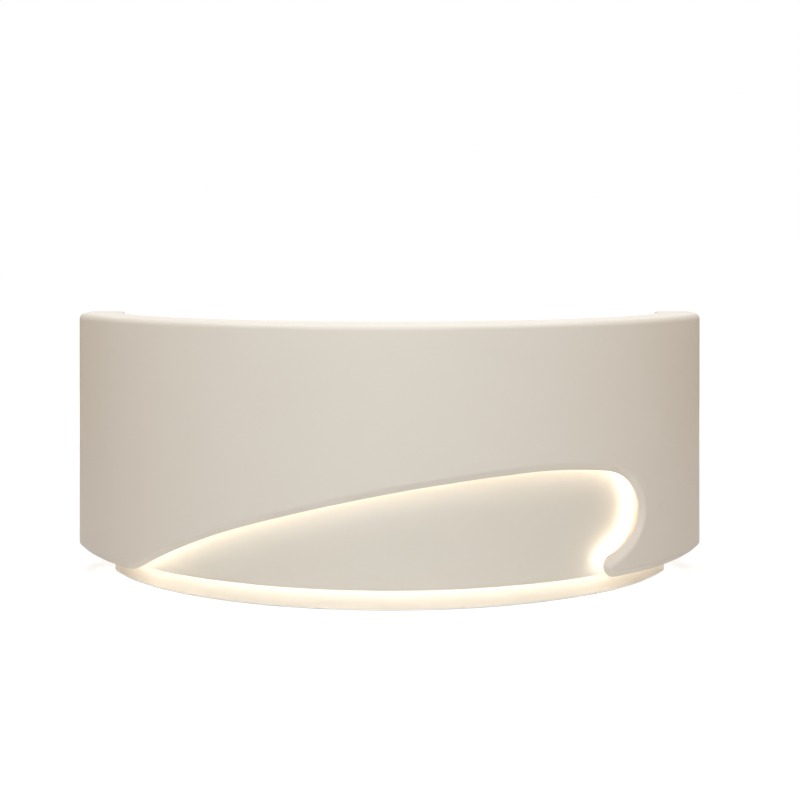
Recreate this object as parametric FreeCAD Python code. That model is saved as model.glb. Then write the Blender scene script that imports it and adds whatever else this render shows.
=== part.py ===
import FreeCAD, Part
import math
import os

# Curved checkout counter: a hollow curved wall with a wave-shaped cut-out lit from behind, a recessed
# plinth, and on the operator's side a worktop over two drawers, a keyboard tray and a cupboard.
# Millimetres. +Z is up, the customer's side faces -Y, and the origin is on the floor under the middle
# of the bounding box.

V = FreeCAD.Vector

# Overall size
WIDTH = 2400.0
DEPTH = 705.0
HEIGHT = 1000.0

# Plan of the outer face: three tangent arcs from the middle to each end, then a straight return. The
# radii of the middle and the shoulder follow from the width and the depth.
MIDDLE_HALF_ANGLE = 27.0
SHOULDER_HALF_ANGLE = 55.83
INNER_CORNER_RADIUS = 6.0
RETURN_LENGTH = 80.0

# Build-up of the wall, measured in from the outer face
SHELL_THICK = 40.0
RECESS_SETBACK = 100.0
RECESS_THICK = 12.0
LEAD_SPACE = 26.0
LINER_THICK = 12.0
PLINTH_THICK = 12.0

# Heights
DECK_BOTTOM = 86.0
DECK_THICK = 18.0
BOARD_THICK = 18.0
SHELL_ABOVE_DECK_BOTTOM = 8.0
RECESS_BELOW_DECK = 4.0
CAP_THICK = 25.0
PLINTH_FLOOR_GAP = 6.0
WORKTOP_TOP = 750.0
WORKTOP_THICK = 28.0

# Edge shapes
RIM_RADIUS = 20.0
CAP_INNER_RADIUS = 8.0
LIP_BEVEL = 26.0
LIP_SOFTENING = 10.0
WORKTOP_EDGE_RADIUS = 5.0

# Cut-out in the shell, seen from the front: where it leaves the bottom edge on the left, then a chain
# of tangent arcs as (radius, turn in degrees), anticlockwise positive. After the last one a hook, an
# arc that is worked out, brings the edge back to the shell's bottom.
CUT_START_X = -949.0
CUT_TOE_RADIUS = 105.0
CUT_RISE_RADIUS = 1628.0
CUT_BROW_RADIUS = 3852.0
CUT_CREST_RADIUS = 1295.0
CUT_END_RADIUS = 151.0
CUT_UNDER_RADIUS = 191.0
CUT_ARCS = [
    (CUT_TOE_RADIUS, 33.7),
    (CUT_RISE_RADIUS, -15.7),
    (CUT_BROW_RADIUS, -14.5),
    (CUT_CREST_RADIUS, -13.3),
    (CUT_END_RADIUS, -120.2),
    (CUT_UNDER_RADIUS, -28.9),
]

# Lighting
CHANNEL_SETBACK_FROM_CUT = 6.0
CHANNEL_WIDTH = 24.0
CHANNEL_DEPTH = 12.0
CHANNEL_WALL = 2.0
DIFFUSER_THICK = 4.0
FORMER_ABOVE_LIGHT = 39.0
PLINTH_LIGHT_GAP = 1.0
PLINTH_FROM_LIGHT = 10.0
PLINTH_LIGHT_WIDTH = 11.0
PLINTH_LIGHT_HEIGHT = 6.0
PLINTH_LIGHT_WALL = 1.5
PLINTH_DIFFUSER_THICK = 2.0
DRIVER_SIZE = V(180.0, 60.0, 45.0)
DRIVER_EDGE_RADIUS = 3.0
DRIVER_FROM_CLEAT = 16.0
INLET_SIZE = V(30.0, 16.0, 24.0)
INLET_WALL = 3.0
INLET_PIN_SIZE = V(2.0, 9.0, 6.0)
INLET_PIN_SPACING = 7.0
LEAD_DIAMETER = 6.0
LEAD_HOLE_DIAMETER = 10.0
LEAD_BEND_RADIUS = 25.0
LEAD_SPACING = 60.0
LEAD_FROM_PANEL = 9.0
LEAD_BELOW_CLEAT = 8.0
CLIP_SIZE = V(16.0, 10.0, 14.0)
CLIP_COUNT = 3

# Framing inside the wall. The first upper studs stand clear of the lights' leads, and the first lower
# ones clear of the cut-out.
STUD_THICK = 18.0
STUD_FROM_LEAD = 31.0
STUD_FROM_CUT = 57.0
UPPER_STUD_ANGLES = [11.0, 22.0, 34.0, 46.0, 70.0]
LAST_LOWER_STUD_ANGLE = 78.0

# Operator's side
KNEE_HALF_WIDTH = 320.0
KNEE_DECK_MARGIN = 20.0
CABINET_WIDTH = 400.0
CABINET_FROM_CLEAT = 2.0
SIDE_THICK = 16.0
BACK_THICK = 8.0
FRONT_THICK = 18.0
FRONT_INSET = 12.0
FRONT_GAP = 3.0
FRONT_SIDE_GAP = 2.0
FRONT_FOOT_GAP = 4.0
FRONT_EDGE_RADIUS = 1.5
SEAT_GAP = 0.3
UPPER_FRONT_HEIGHT = 210.0
GRIP_HEIGHT = 22.0
GRIP_DEPTH = 11.0
GRIP_LIP = 5.0
GRIP_GROOVE = 10.0
DRAWER_WALL = 12.0
DRAWER_BOTTOM = 8.0
DRAWER_HEADROOM = 34.0
DRAWER_BACK_GAP = 8.0
BAY_SHELF_HEIGHT = 420.0
BAY_SHELF_SETBACK = 40.0
SHELF_HEIGHT = 410.0
SHELF_SIDE_GAP = 0.5
SHELF_SETBACK = 20.0
PIN_DIAMETER = 5.0
PIN_REACH = 9.0
PIN_DEPTH = 8.0
PIN_FROM_BACK = 50.0
PIN_FROM_FRONT = 60.0
CLEAT_THICK = 24.0
CLEAT_HEIGHT = 28.0
PLINTH_REAR_INSET = 60.0

# Telescopic runners, made in lengths of whole steps; depths are measured from the fixed wall
RUNNER_GAP = 13.0
RUNNER_HEIGHT = 45.0
RUNNER_SHEET = 1.2
RUNNER_PLAY = 0.3
RUNNER_STEP = 50.0
RUNNER_SETBACK = 2.0
RUNNER_OUTER_DEPTH = 10.0
RUNNER_MID_NEAR = 2.0
RUNNER_MID_FAR = 10.5
RUNNER_WEB = 5.5
RUNNER_WEB_PLAY = 0.8

# Keyboard tray
TRAY_THICK = 16.0
TRAY_DEPTH = 330.0
TRAY_FRONT_INSET = 40.0
TRAY_BELOW_WORKTOP = 67.0
TRAY_LIP_THICK = 8.0
TRAY_LIP_HEIGHT = 10.0
TRAY_CHEEK_THICK = 8.0
TRAY_CHEEK_DROP = 12.0
TRAY_RUNNER_SETBACK = 10.0

# Door hinges
HINGE_PIN_DIAMETER = 5.0
HINGE_KNUCKLE_DIAMETER = 8.0
HINGE_LENGTH = 60.0
HINGE_LEAF = 2.0
HINGE_LEAF_REACH = 30.0
HINGE_PLAY = 0.05
HINGE_OFFSET = 4.5
HINGE_AXIS_SETBACK = 1.0
HINGE_END_DISTANCE = 70.0
HINGE_CLEARANCE = 3.0
HINGE_LEAF_INSET = 2.0
HINGE_LINK_OVERLAP = 3.0

# Drawer lock. The cam's depth is along Y and its reach is from the core's axis.
LOCK_BARREL_DIAMETER = 20.0
LOCK_FLANGE_DIAMETER = 25.0
LOCK_CORE_DIAMETER = 14.0
LOCK_FACE = 2.0
LOCK_CORE_PROUD = 1.5
LOCK_PLAY = 0.05
LOCK_BELOW_GRIP = 32.0
LOCK_CAM_WIDTH = 8.0
LOCK_CAM_THICK = 2.5
LOCK_CAM_REACH = 24.0
LOCK_CAM_CLEARANCE = 6.0
LOCK_TAIL = 6.0
KEYWAY_SIZE = V(2.0, 6.0, 8.0)
STRIKE_WIDTH = 40.0
STRIKE_SHEET = 2.0
STRIKE_FLANGE = 20.0
STRIKE_FROM_CAM = 0.4
STRIKE_OVERLAP = 9.0

# Light switch
SWITCH_WIDTH = 34.0
SWITCH_HEIGHT = 24.0
SWITCH_FLANGE = 2.0
SWITCH_SEAT_GAP = 0.1
SWITCH_BODY = V(27.0, 22.0, 17.0)
ROCKER_SIZE = V(20.0, 9.0, 13.0)
ROCKER_PLAY = 0.4
ROCKER_AXIS_DEPTH = 3.0
ROCKER_ROUND = 0.2
ROCKER_DISH_RADIUS = 14.0
ROCKER_DISH_OUT = 13.0
ROCKER_DISH_UP = 3.0
ROCKER_PIN_DIAMETER = 3.0
ROCKER_PIN_PLAY = 0.05
ROCKER_PIN_END_GAP = 0.5
ROCKER_PIN_SEAT = 2.0

# Cable grommets
GROMMET_X = 480.0
GROMMET_HOLE_DIAMETER = 60.0
GROMMET_BORE_DIAMETER = 54.0
GROMMET_FLANGE_DIAMETER = 76.0
GROMMET_FLANGE_THICK = 4.5
GROMMET_REBATE_PLAY = 0.5
GROMMET_SLEEVE_DEPTH = 20.0
GROMMET_SEAT_WIDTH = 3.0
GROMMET_CAP_THICK = 3.0
GROMMET_CAP_PLAY = 0.05
GROMMET_SLOT_DIAMETER = 20.0
GROMMET_FROM_LINER = 60.0

# Legs and screws
LEG_FOOT_DIAMETER = 50.0
LEG_FOOT_THICK = 8.0
LEG_STEM_DIAMETER = 24.0
LEG_PLATE_THICK = 8.0
LEG_CLEARANCE = 4.0
LEG_FROM_SIDE = 90.0
LEG_ANGLES = [9.0, 24.0, 42.0]
SCREW_DIAMETER = 4.0
SCREW_HEAD_DIAMETER = 8.0
SCREW_HEAD_THICK = 3.0
SCREW_LENGTH = 40.0
SCREW_ANGLES = [6.0, 16.0, 26.0, 38.0, 50.0]

# How far a cutting solid runs past what it cuts, how near counts as touching when edges are picked,
# and how much of a wall a rounding leaves
OVERRUN = 1.0
LONG_OVERRUN = 50.0
NEAR = 0.1
ROUNDING_MARGIN = 2.0

# Worked out from the sizes above
Y_FRONT = -DEPTH / 2.0
Y_BACK = DEPTH / 2.0
HALF = WIDTH / 2.0
RECESS_BACK = RECESS_SETBACK + RECESS_THICK
LINER_OUTER = RECESS_BACK + LEAD_SPACE
WALL_THICK = LINER_OUTER + LINER_THICK
PLINTH_LIGHT_OUTER = RECESS_BACK + PLINTH_LIGHT_GAP
PLINTH_SETBACK = PLINTH_LIGHT_OUTER + PLINTH_LIGHT_WIDTH + PLINTH_FROM_LIGHT
CORNER_RADIUS = WALL_THICK + CLEAT_THICK + INNER_CORNER_RADIUS
A1 = math.radians(MIDDLE_HALF_ANGLE)
A2 = math.radians(SHOULDER_HALF_ANGLE)
A3 = math.pi / 2.0


def plan_radii():
    """Radii of the middle and the shoulder that reach the half width and the curve's depth together."""
    across = HALF - CORNER_RADIUS * (1.0 - math.sin(A2))
    back = DEPTH - RETURN_LENGTH - CORNER_RADIUS * math.cos(A2)
    middle_across = math.sin(A1)
    middle_back = 1.0 - math.cos(A1)
    shoulder_across = math.sin(A2) - math.sin(A1)
    shoulder_back = math.cos(A1) - math.cos(A2)
    share = middle_across * shoulder_back - shoulder_across * middle_back
    middle = (across * shoulder_back - back * shoulder_across) / share
    shoulder = (back * middle_across - across * middle_back) / share
    return middle, shoulder


MIDDLE_RADIUS, SHOULDER_RADIUS = plan_radii()
C2_X = (MIDDLE_RADIUS - SHOULDER_RADIUS) * math.sin(A1)
C2_Y = Y_FRONT + MIDDLE_RADIUS - (MIDDLE_RADIUS - SHOULDER_RADIUS) * math.cos(A1)
C3_X = HALF - CORNER_RADIUS
C3_Y = Y_BACK - RETURN_LENGTH
SHELL_BOTTOM = DECK_BOTTOM + SHELL_ABOVE_DECK_BOTTOM
RECESS_BOTTOM = DECK_BOTTOM - RECESS_BELOW_DECK
CAP_BOTTOM = HEIGHT - CAP_THICK
DECK_TOP = DECK_BOTTOM + DECK_THICK
WORKTOP_BOTTOM = WORKTOP_TOP - WORKTOP_THICK
END_BOARD_Y = Y_BACK - LINER_THICK
CARCASS_FRONT_Y = Y_BACK - FRONT_INSET - FRONT_THICK
PLINTH_BACK_Y = Y_BACK - PLINTH_REAR_INSET

os.makedirs("parts", exist_ok=True)


def save(shape, node):
    shape.exportStep("parts/%s.step" % node)


def fuse(solids):
    whole = solids[0]
    for solid in solids[1:]:
        whole = whole.fuse(solid)
    return whole.removeSplitter()


def box(x0, x1, y0, y1, z0, z1):
    return Part.makeBox(x1 - x0, y1 - y0, z1 - z0, V(x0, y0, z0))


def upright_cylinder(diameter, z0, z1, x, y):
    return Part.makeCylinder(diameter / 2.0, z1 - z0, V(x, y, z0), V(0, 0, 1))


def mirror_x(shape):
    return shape.mirror(V(0, 0, 0), V(1, 0, 0))


# The three arcs of the plan as (centre x, centre y, radius, first angle, last angle), middle first
PLAN_ARCS = [
    (0.0, Y_FRONT + MIDDLE_RADIUS, MIDDLE_RADIUS, 0.0, A1),
    (C2_X, C2_Y, SHOULDER_RADIUS, A1, A2),
    (C3_X, C3_Y, CORNER_RADIUS, A2, A3),
]


def arc_point(plan_arc, angle, offset, side=1):
    x, y, radius, first, last = plan_arc
    reach = radius - offset
    return V(side * (x + reach * math.sin(angle)), y - reach * math.cos(angle), 0)


def plan_point(angle, offset, side=1):
    """Point of the plan curve where its tangent has turned by angle, offset in from the outer face."""
    for plan_arc in PLAN_ARCS:
        if angle <= plan_arc[4]:
            return arc_point(plan_arc, angle, offset, side)


def rail_y(offset, x):
    """Y of the offset plan curve at a given x, for the front of the counter."""
    x = abs(x)
    for centre_x, centre_y, radius, first, last in PLAN_ARCS:
        reach = radius - offset
        if x <= centre_x + reach * math.sin(last):
            return centre_y - math.sqrt(reach ** 2 - (x - centre_x) ** 2)
    return C3_Y


def turn_at(offset, x):
    """Turn of the plan curve, in degrees, where its offset curve passes a given x."""
    for centre_x, centre_y, radius, first, last in PLAN_ARCS:
        reach = radius - offset
        if x <= centre_x + reach * math.sin(last):
            return math.degrees(math.asin((x - centre_x) / reach))
    return LAST_LOWER_STUD_ANGLE


def setback(point):
    """How far a point lies in from the outer face."""
    x = abs(point.x)
    if point.y >= C3_Y:
        return HALF - x
    for centre_x, centre_y, radius, first, last in PLAN_ARCS:
        angle = math.atan2(x - centre_x, centre_y - point.y)
        if angle <= last:
            return radius - math.hypot(x - centre_x, centre_y - point.y)


def arc(a, b, c):
    return Part.Arc(a, b, c).toShape()


def line(a, b):
    return Part.LineSegment(a, b).toShape()


def plan_edge(plan_arc, offset, side):
    first, last = plan_arc[3], plan_arc[4]
    angles = (first, (first + last) / 2.0, last)
    return arc(*[arc_point(plan_arc, angle, offset, side) for angle in angles])


def rail(offset, back):
    """Edges of the offset plan curve, from its left end at y = back round to its right end."""
    edges = []
    for side in (-1, 1):
        edges += [plan_edge(plan_arc, offset, side) for plan_arc in PLAN_ARCS[1:]]
        edges.append(line(plan_point(A3, offset, side), V(side * (HALF - offset), back, 0)))
    ends = [plan_point(A1, offset, -1), plan_point(0, offset), plan_point(A1, offset)]
    edges.append(arc(*ends))
    return edges


def prism(edges, z0, z1):
    wire = Part.Wire(Part.__sortEdges__(edges))
    face = Part.Face(wire)
    face.translate(V(0, 0, z0))
    return face.extrude(V(0, 0, z1 - z0))


def band(outer, inner, z0, z1, back=Y_BACK):
    """Curved strip of the wall between two offsets."""
    edges = rail(outer, back) + rail(inner, back)
    for side in (-1, 1):
        edges.append(line(V(side * (HALF - outer), back, 0), V(side * (HALF - inner), back, 0)))
    return prism(edges, z0, z1)


def board(offset, z0, z1, back):
    """Flat board that fills the curve inside an offset, back to a straight rear edge."""
    edges = rail(offset, back)
    edges.append(line(V(-HALF + offset, back, 0), V(HALF - offset, back, 0)))
    return prism(edges, z0, z1)


def cut_hook():
    """Radius and turn of the arc that brings the cut-out's edge back down to the shell's bottom."""
    heading = 0.0
    rise = 0.0
    for radius, turn in CUT_ARCS:
        before = math.cos(math.radians(heading))
        heading += turn
        rise += math.copysign(radius, turn) * (before - math.cos(math.radians(heading)))
    return rise / (1 - math.cos(math.radians(heading))), -heading


def cut_outline(offset):
    """Edge of the cut-out in the XZ plane, moved into the shell's material by offset."""
    turns = CUT_ARCS + [cut_hook()]
    point = V(CUT_START_X, 0, SHELL_BOTTOM + offset)
    heading = 0.0
    edges = []
    for radius, turn in turns:
        sign = 1 if turn > 0 else -1
        reach = radius - sign * offset
        centre = point + V(-sign * reach * math.sin(heading), 0, sign * reach * math.cos(heading))
        corners = [point]
        for share in (0.5, 1.0):
            angle = heading + math.radians(turn) * share
            corners.append(centre + V(sign * reach * math.sin(angle), 0, -sign * reach * math.cos(angle)))
        edges.append(arc(*corners))
        point = corners[2]
        heading += math.radians(turn)
    return edges


def through_y(edges):
    """Solid made by driving a closed outline in the XZ plane through the whole counter."""
    wire = Part.Wire(Part.__sortEdges__(edges))
    face = Part.Face(wire)
    face.translate(V(0, Y_FRONT - LONG_OVERRUN, 0))
    return face.extrude(V(0, DEPTH + 2 * LONG_OVERRUN, 0))


def cut_opening():
    edges = cut_outline(0)
    left = edges[0].Vertexes[0].Point
    right = edges[-1].Vertexes[-1].Point
    low = SHELL_BOTTOM - LONG_OVERRUN
    edges.append(line(left, V(left.x, 0, low)))
    edges.append(line(V(left.x, 0, low), V(right.x, 0, low)))
    edges.append(line(V(right.x, 0, low), right))
    return through_y(edges)


def cut_ribbon(near, far):
    """Strip that follows the cut-out between two distances into the shell's material."""
    edges = cut_outline(near) + cut_outline(far)
    for end in (0, -1):
        inner = cut_outline(near)[end].Vertexes[end].Point
        outer = cut_outline(far)[end].Vertexes[end].Point
        edges.append(line(inner, outer))
    return through_y(edges)


def follows_wall(edge, offset, low, high):
    """True for an edge that runs along a curved face of the wall between two heights."""
    for share in (0.1, 0.5, 0.9):
        point = edge.valueAt(edge.FirstParameter + share * (edge.LastParameter - edge.FirstParameter))
        if not low - NEAR <= point.z <= high + NEAR or abs(setback(point) - offset) > NEAR:
            return False
    upright = edge.BoundBox.XLength < NEAR and edge.BoundBox.YLength < NEAR
    return not upright


# The former over the recess clears the highest point of the light that follows the cut-out
CUT_TOP = max(edge.BoundBox.ZMax for edge in cut_outline(0))
RECESS_TOP = CUT_TOP + CHANNEL_SETBACK_FROM_CUT + CHANNEL_WIDTH + FORMER_ABOVE_LIGHT


# Wall: a seamless painted skin on formers and studs, rolled over at the top, and with a soft-edged bevel
# along its foot and round the cut-out
def make_front_shell():
    shell = band(0, SHELL_THICK, SHELL_BOTTOM, HEIGHT).cut(cut_opening())
    lip = [e for e in shell.Edges if follows_wall(e, 0, SHELL_BOTTOM, RECESS_TOP)]
    shell = shell.makeChamfer(min(LIP_BEVEL, SHELL_THICK - ROUNDING_MARGIN), lip)
    bevel_top = [e for e in shell.Edges if follows_wall(e, 0, SHELL_BOTTOM, RECESS_TOP)]
    shell = shell.makeFillet(LIP_SOFTENING, bevel_top)
    rim = [e for e in shell.Edges if follows_wall(e, 0, HEIGHT, HEIGHT)]
    return shell.makeFillet(min(RIM_RADIUS, SHELL_THICK - ROUNDING_MARGIN), rim)


def make_top_cap():
    cap = band(SHELL_THICK, WALL_THICK, CAP_BOTTOM, HEIGHT)
    inner = [e for e in cap.Edges if follows_wall(e, WALL_THICK, HEIGHT, HEIGHT)]
    return cap.makeFillet(min(CAP_INNER_RADIUS, CAP_THICK / 2.0), inner)


def vertical_lead_hole(x, offset, z0, z1):
    return upright_cylinder(LEAD_HOLE_DIAMETER, z0, z1, x, Y_FRONT + offset)


CUT_LEAD_OFFSET = SHELL_THICK + CHANNEL_DEPTH / 2.0
PLINTH_LEAD_OFFSET = RECESS_BACK + LEAD_FROM_PANEL
CUT_LEAD_X = 0.0
PLINTH_LEAD_X = LEAD_SPACING
DRIVER_TOP = WORKTOP_BOTTOM
DRIVER_FRONT_Y = Y_FRONT + WALL_THICK + CLEAT_THICK + DRIVER_FROM_CLEAT
LEAD_Z = DRIVER_TOP - CLEAT_HEIGHT - LEAD_BELOW_CLEAT
SWITCH_Z = (WORKTOP_TOP + CAP_BOTTOM) / 2.0


def along_x(diameter, x0, x1, y, z):
    return Part.makeCylinder(diameter / 2.0, x1 - x0, V(x0, y, z), V(1, 0, 0))


def along_y(diameter, y0, y1, x, z):
    return Part.makeCylinder(diameter / 2.0, y1 - y0, V(x, y0, z), V(0, 1, 0))


def through_wall_hole(x):
    end = Y_FRONT + WALL_THICK + LONG_OVERRUN
    return along_y(LEAD_HOLE_DIAMETER, Y_FRONT + RECESS_BACK, end, x, LEAD_Z)


def centred_box(size, y0, y1, x, z):
    """Box of a size's width and height about a point of the XZ plane, between two depths."""
    return box(x - size.x / 2, x + size.x / 2, y0, y1, z - size.z / 2, z + size.z / 2)


def switch_opening():
    back = Y_FRONT + WALL_THICK
    return centred_box(SWITCH_BODY, back - SWITCH_BODY.y, back + OVERRUN, 0, SWITCH_Z)


def make_inner_liner():
    liner = band(LINER_OUTER, WALL_THICK, DECK_TOP, CAP_BOTTOM, END_BOARD_Y)
    for x in (CUT_LEAD_X, PLINTH_LEAD_X):
        liner = liner.cut(through_wall_hole(x))
    return liner.cut(switch_opening())


def make_former(z0):
    return band(SHELL_THICK, LINER_OUTER, z0, z0 + BOARD_THICK, END_BOARD_Y)


def make_former_middle():
    former = make_former(RECESS_TOP)
    top = RECESS_TOP + BOARD_THICK
    former = former.cut(vertical_lead_hole(CUT_LEAD_X, CUT_LEAD_OFFSET, RECESS_TOP, top))
    return former.cut(vertical_lead_hole(PLINTH_LEAD_X, PLINTH_LEAD_OFFSET, RECESS_TOP, top))


def studs(angles, outer, inner, z0, z1):
    """Upright boards square to the wall, at the given turns of the plan curve on both sides."""
    whole = band(outer, inner, z0, z1)
    length = inner - outer + 2 * STUD_THICK
    solids = []
    for degrees in angles:
        for side in (1, -1):
            blank = Part.makeBox(STUD_THICK, length, z1 - z0, V(-STUD_THICK / 2.0, 0, z0))
            blank.rotate(V(0, 0, 0), V(0, 0, 1), side * degrees)
            blank.translate(plan_point(math.radians(degrees), outer - STUD_THICK, side))
            solids.append(blank.common(whole).Solids[0])
    return Part.makeCompound(solids)


def make_upper_studs():
    low = RECESS_TOP + BOARD_THICK
    beside_lead = turn_at(SHELL_THICK, PLINTH_LEAD_X + STUD_FROM_LEAD)
    return studs([beside_lead] + UPPER_STUD_ANGLES, SHELL_THICK, LINER_OUTER, low, CAP_BOTTOM - BOARD_THICK)


def make_lower_studs():
    beside_cut = turn_at(SHELL_THICK, STUD_FROM_CUT - CUT_START_X)
    return studs([beside_cut, LAST_LOWER_STUD_ANGLE], SHELL_THICK, RECESS_SETBACK, DECK_TOP, RECESS_TOP)


def make_recess_panel():
    return band(RECESS_SETBACK, RECESS_BACK, RECESS_BOTTOM, RECESS_TOP, END_BOARD_Y)


def make_base_deck():
    low = DECK_BOTTOM - OVERRUN
    high = DECK_TOP + OVERRUN
    knee_front = rail_y(WALL_THICK, KNEE_HALF_WIDTH) + KNEE_DECK_MARGIN
    deck = board(RECESS_BACK, DECK_BOTTOM, DECK_TOP, CARCASS_FRONT_Y)
    deck = deck.cut(box(-KNEE_HALF_WIDTH, KNEE_HALF_WIDTH, knee_front, Y_BACK, low, high))
    return deck.cut(vertical_lead_hole(PLINTH_LEAD_X, PLINTH_LEAD_OFFSET, low, high))


def make_plinth_front():
    inner = PLINTH_SETBACK + PLINTH_THICK
    return band(PLINTH_SETBACK, inner, PLINTH_FLOOR_GAP, DECK_BOTTOM, PLINTH_BACK_Y)


def make_plinth_rear_right():
    end = HALF - PLINTH_SETBACK - PLINTH_THICK
    front = PLINTH_BACK_Y - PLINTH_THICK
    return box(KNEE_HALF_WIDTH, end, front, PLINTH_BACK_Y, PLINTH_FLOOR_GAP, DECK_BOTTOM)


def leg_places():
    """Where the legs of the right half stand: along the front plinth and along the rear one."""
    clear = LEG_FOOT_DIAMETER / 2.0 + LEG_CLEARANCE
    places = []
    for degrees in LEG_ANGLES:
        point = plan_point(math.radians(degrees), PLINTH_SETBACK + PLINTH_THICK + clear)
        places.append((point.x, point.y))
    rear_y = PLINTH_BACK_Y - PLINTH_THICK - clear
    places.append((KNEE_HALF_WIDTH + LEG_FROM_SIDE, rear_y))
    places.append((HALF - WALL_THICK - LEG_FROM_SIDE, rear_y))
    return places


def make_levelling_legs():
    plate_bottom = DECK_BOTTOM - LEG_PLATE_THICK
    solids = []
    for right_x, y in leg_places():
        for x in (right_x, -right_x):
            foot = upright_cylinder(LEG_FOOT_DIAMETER, 0, LEG_FOOT_THICK, x, y)
            stem = upright_cylinder(LEG_STEM_DIAMETER, LEG_FOOT_THICK, plate_bottom, x, y)
            plate = upright_cylinder(LEG_FOOT_DIAMETER, plate_bottom, DECK_BOTTOM, x, y)
            solids.append(fuse([foot, stem, plate]))
    return Part.makeCompound(solids)


# Lights: an aluminium channel with an opal cover behind the cut-out's edge, and one over the plinth
def make_led_channel():
    near = CHANNEL_SETBACK_FROM_CUT
    far = near + CHANNEL_WIDTH
    body = cut_ribbon(near, far).common(band(SHELL_THICK, SHELL_THICK + CHANNEL_DEPTH, 0, HEIGHT))
    hollow = cut_ribbon(near + CHANNEL_WALL, far - CHANNEL_WALL)
    hollow = hollow.common(band(SHELL_THICK + CHANNEL_WALL, SHELL_THICK + CHANNEL_DEPTH, 0, HEIGHT))
    return body.cut(hollow)


def make_led_diffuser():
    near = CHANNEL_SETBACK_FROM_CUT + CHANNEL_WALL
    far = CHANNEL_SETBACK_FROM_CUT + CHANNEL_WIDTH - CHANNEL_WALL
    depth = SHELL_THICK + CHANNEL_DEPTH
    return cut_ribbon(near, far).common(band(depth - DIFFUSER_THICK, depth, 0, HEIGHT))


def make_plinth_led_channel():
    outer = PLINTH_LIGHT_OUTER
    inner = outer + PLINTH_LIGHT_WIDTH
    low = DECK_BOTTOM - PLINTH_LIGHT_HEIGHT
    wall = PLINTH_LIGHT_WALL
    body = band(outer, inner, low, DECK_BOTTOM, PLINTH_BACK_Y)
    return body.cut(band(outer + wall, inner - wall, low, DECK_BOTTOM - wall, PLINTH_BACK_Y))


def make_plinth_led_diffuser():
    outer = PLINTH_LIGHT_OUTER + PLINTH_LIGHT_WALL
    inner = PLINTH_LIGHT_OUTER + PLINTH_LIGHT_WIDTH - PLINTH_LIGHT_WALL
    low = DECK_BOTTOM - PLINTH_LIGHT_HEIGHT
    return band(outer, inner, low, low + PLINTH_DIFFUSER_THICK, PLINTH_BACK_Y)


def make_led_driver():
    size = DRIVER_SIZE
    x0 = -size.x / 2.0 + LEAD_SPACING / 2.0
    y0 = DRIVER_FRONT_Y
    driver = box(x0, x0 + size.x, y0, y0 + size.y, DRIVER_TOP - size.z, DRIVER_TOP)
    lower = [e for e in driver.Edges if e.BoundBox.ZMax < DRIVER_TOP - size.z + NEAR]
    return driver.makeFillet(DRIVER_EDGE_RADIUS, lower)


def make_power_inlet():
    """Socket on the driver's back, with a pocket round three flat pins."""
    x = LEAD_SPACING / 2.0
    y = DRIVER_FRONT_Y + DRIVER_SIZE.y
    z = DRIVER_TOP - DRIVER_SIZE.z / 2.0
    pocket_size = INLET_SIZE - V(2 * INLET_WALL, 0, 2 * INLET_WALL)
    floor_y = y + INLET_WALL
    body = centred_box(INLET_SIZE, y, y + INLET_SIZE.y, x, z)
    pocket = centred_box(pocket_size, floor_y, y + INLET_SIZE.y + OVERRUN, x, z)
    pins = []
    for place in (-INLET_PIN_SPACING, 0.0, INLET_PIN_SPACING):
        pins.append(centred_box(INLET_PIN_SIZE, floor_y, floor_y + INLET_PIN_SIZE.y, x + place, z))
    return fuse([body.cut(pocket)] + pins)


def cut_light_top_at(x):
    """Height of the channel's upper side straight above the cut-out at x."""
    far = CHANNEL_SETBACK_FROM_CUT + CHANNEL_WIDTH
    probe = line(V(x, 0, (SHELL_BOTTOM + CUT_TOP) / 2.0), V(x, 0, RECESS_TOP))
    nearest = [probe.distToShape(edge) for edge in cut_outline(far)]
    return min(nearest, key=lambda found: found[0])[1][0][0].z


def lead(x, offset, z_end):
    """Round lead from the driver through the liner, then straight down to a light channel."""
    start = V(x, DRIVER_FRONT_Y, LEAD_Z)
    corner = V(x, Y_FRONT + offset, LEAD_Z)
    radius = LEAD_BEND_RADIUS
    bend_start = corner + V(0, radius, 0)
    bend_end = corner - V(0, 0, radius)
    centre = corner + V(0, radius, -radius)
    middle = centre + V(0, -radius * math.sqrt(0.5), radius * math.sqrt(0.5))
    path = Part.Wire([
        line(start, bend_start),
        arc(bend_start, middle, bend_end),
        line(bend_end, V(corner.x, corner.y, z_end)),
    ])
    ring = Part.Wire([Part.makeCircle(LEAD_DIAMETER / 2.0, start, V(0, -1, 0))])
    tube = path.makePipeShell([ring], True, False)
    expected = math.pi * (LEAD_DIAMETER / 2.0) ** 2 * path.Length
    print("lead of %.0f mm, volume over section times length %.4f" % (path.Length, tube.Volume / expected))
    return tube


def make_led_leads():
    # The channel's upper side slopes, so the lead stops at the higher side of its own width
    high_side = CUT_LEAD_X + LEAD_DIAMETER / 2.0
    to_cut = lead(CUT_LEAD_X, CUT_LEAD_OFFSET, cut_light_top_at(high_side))
    to_plinth = lead(PLINTH_LEAD_X, PLINTH_LEAD_OFFSET, DECK_BOTTOM)
    return Part.makeCompound([to_cut, to_plinth])


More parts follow.
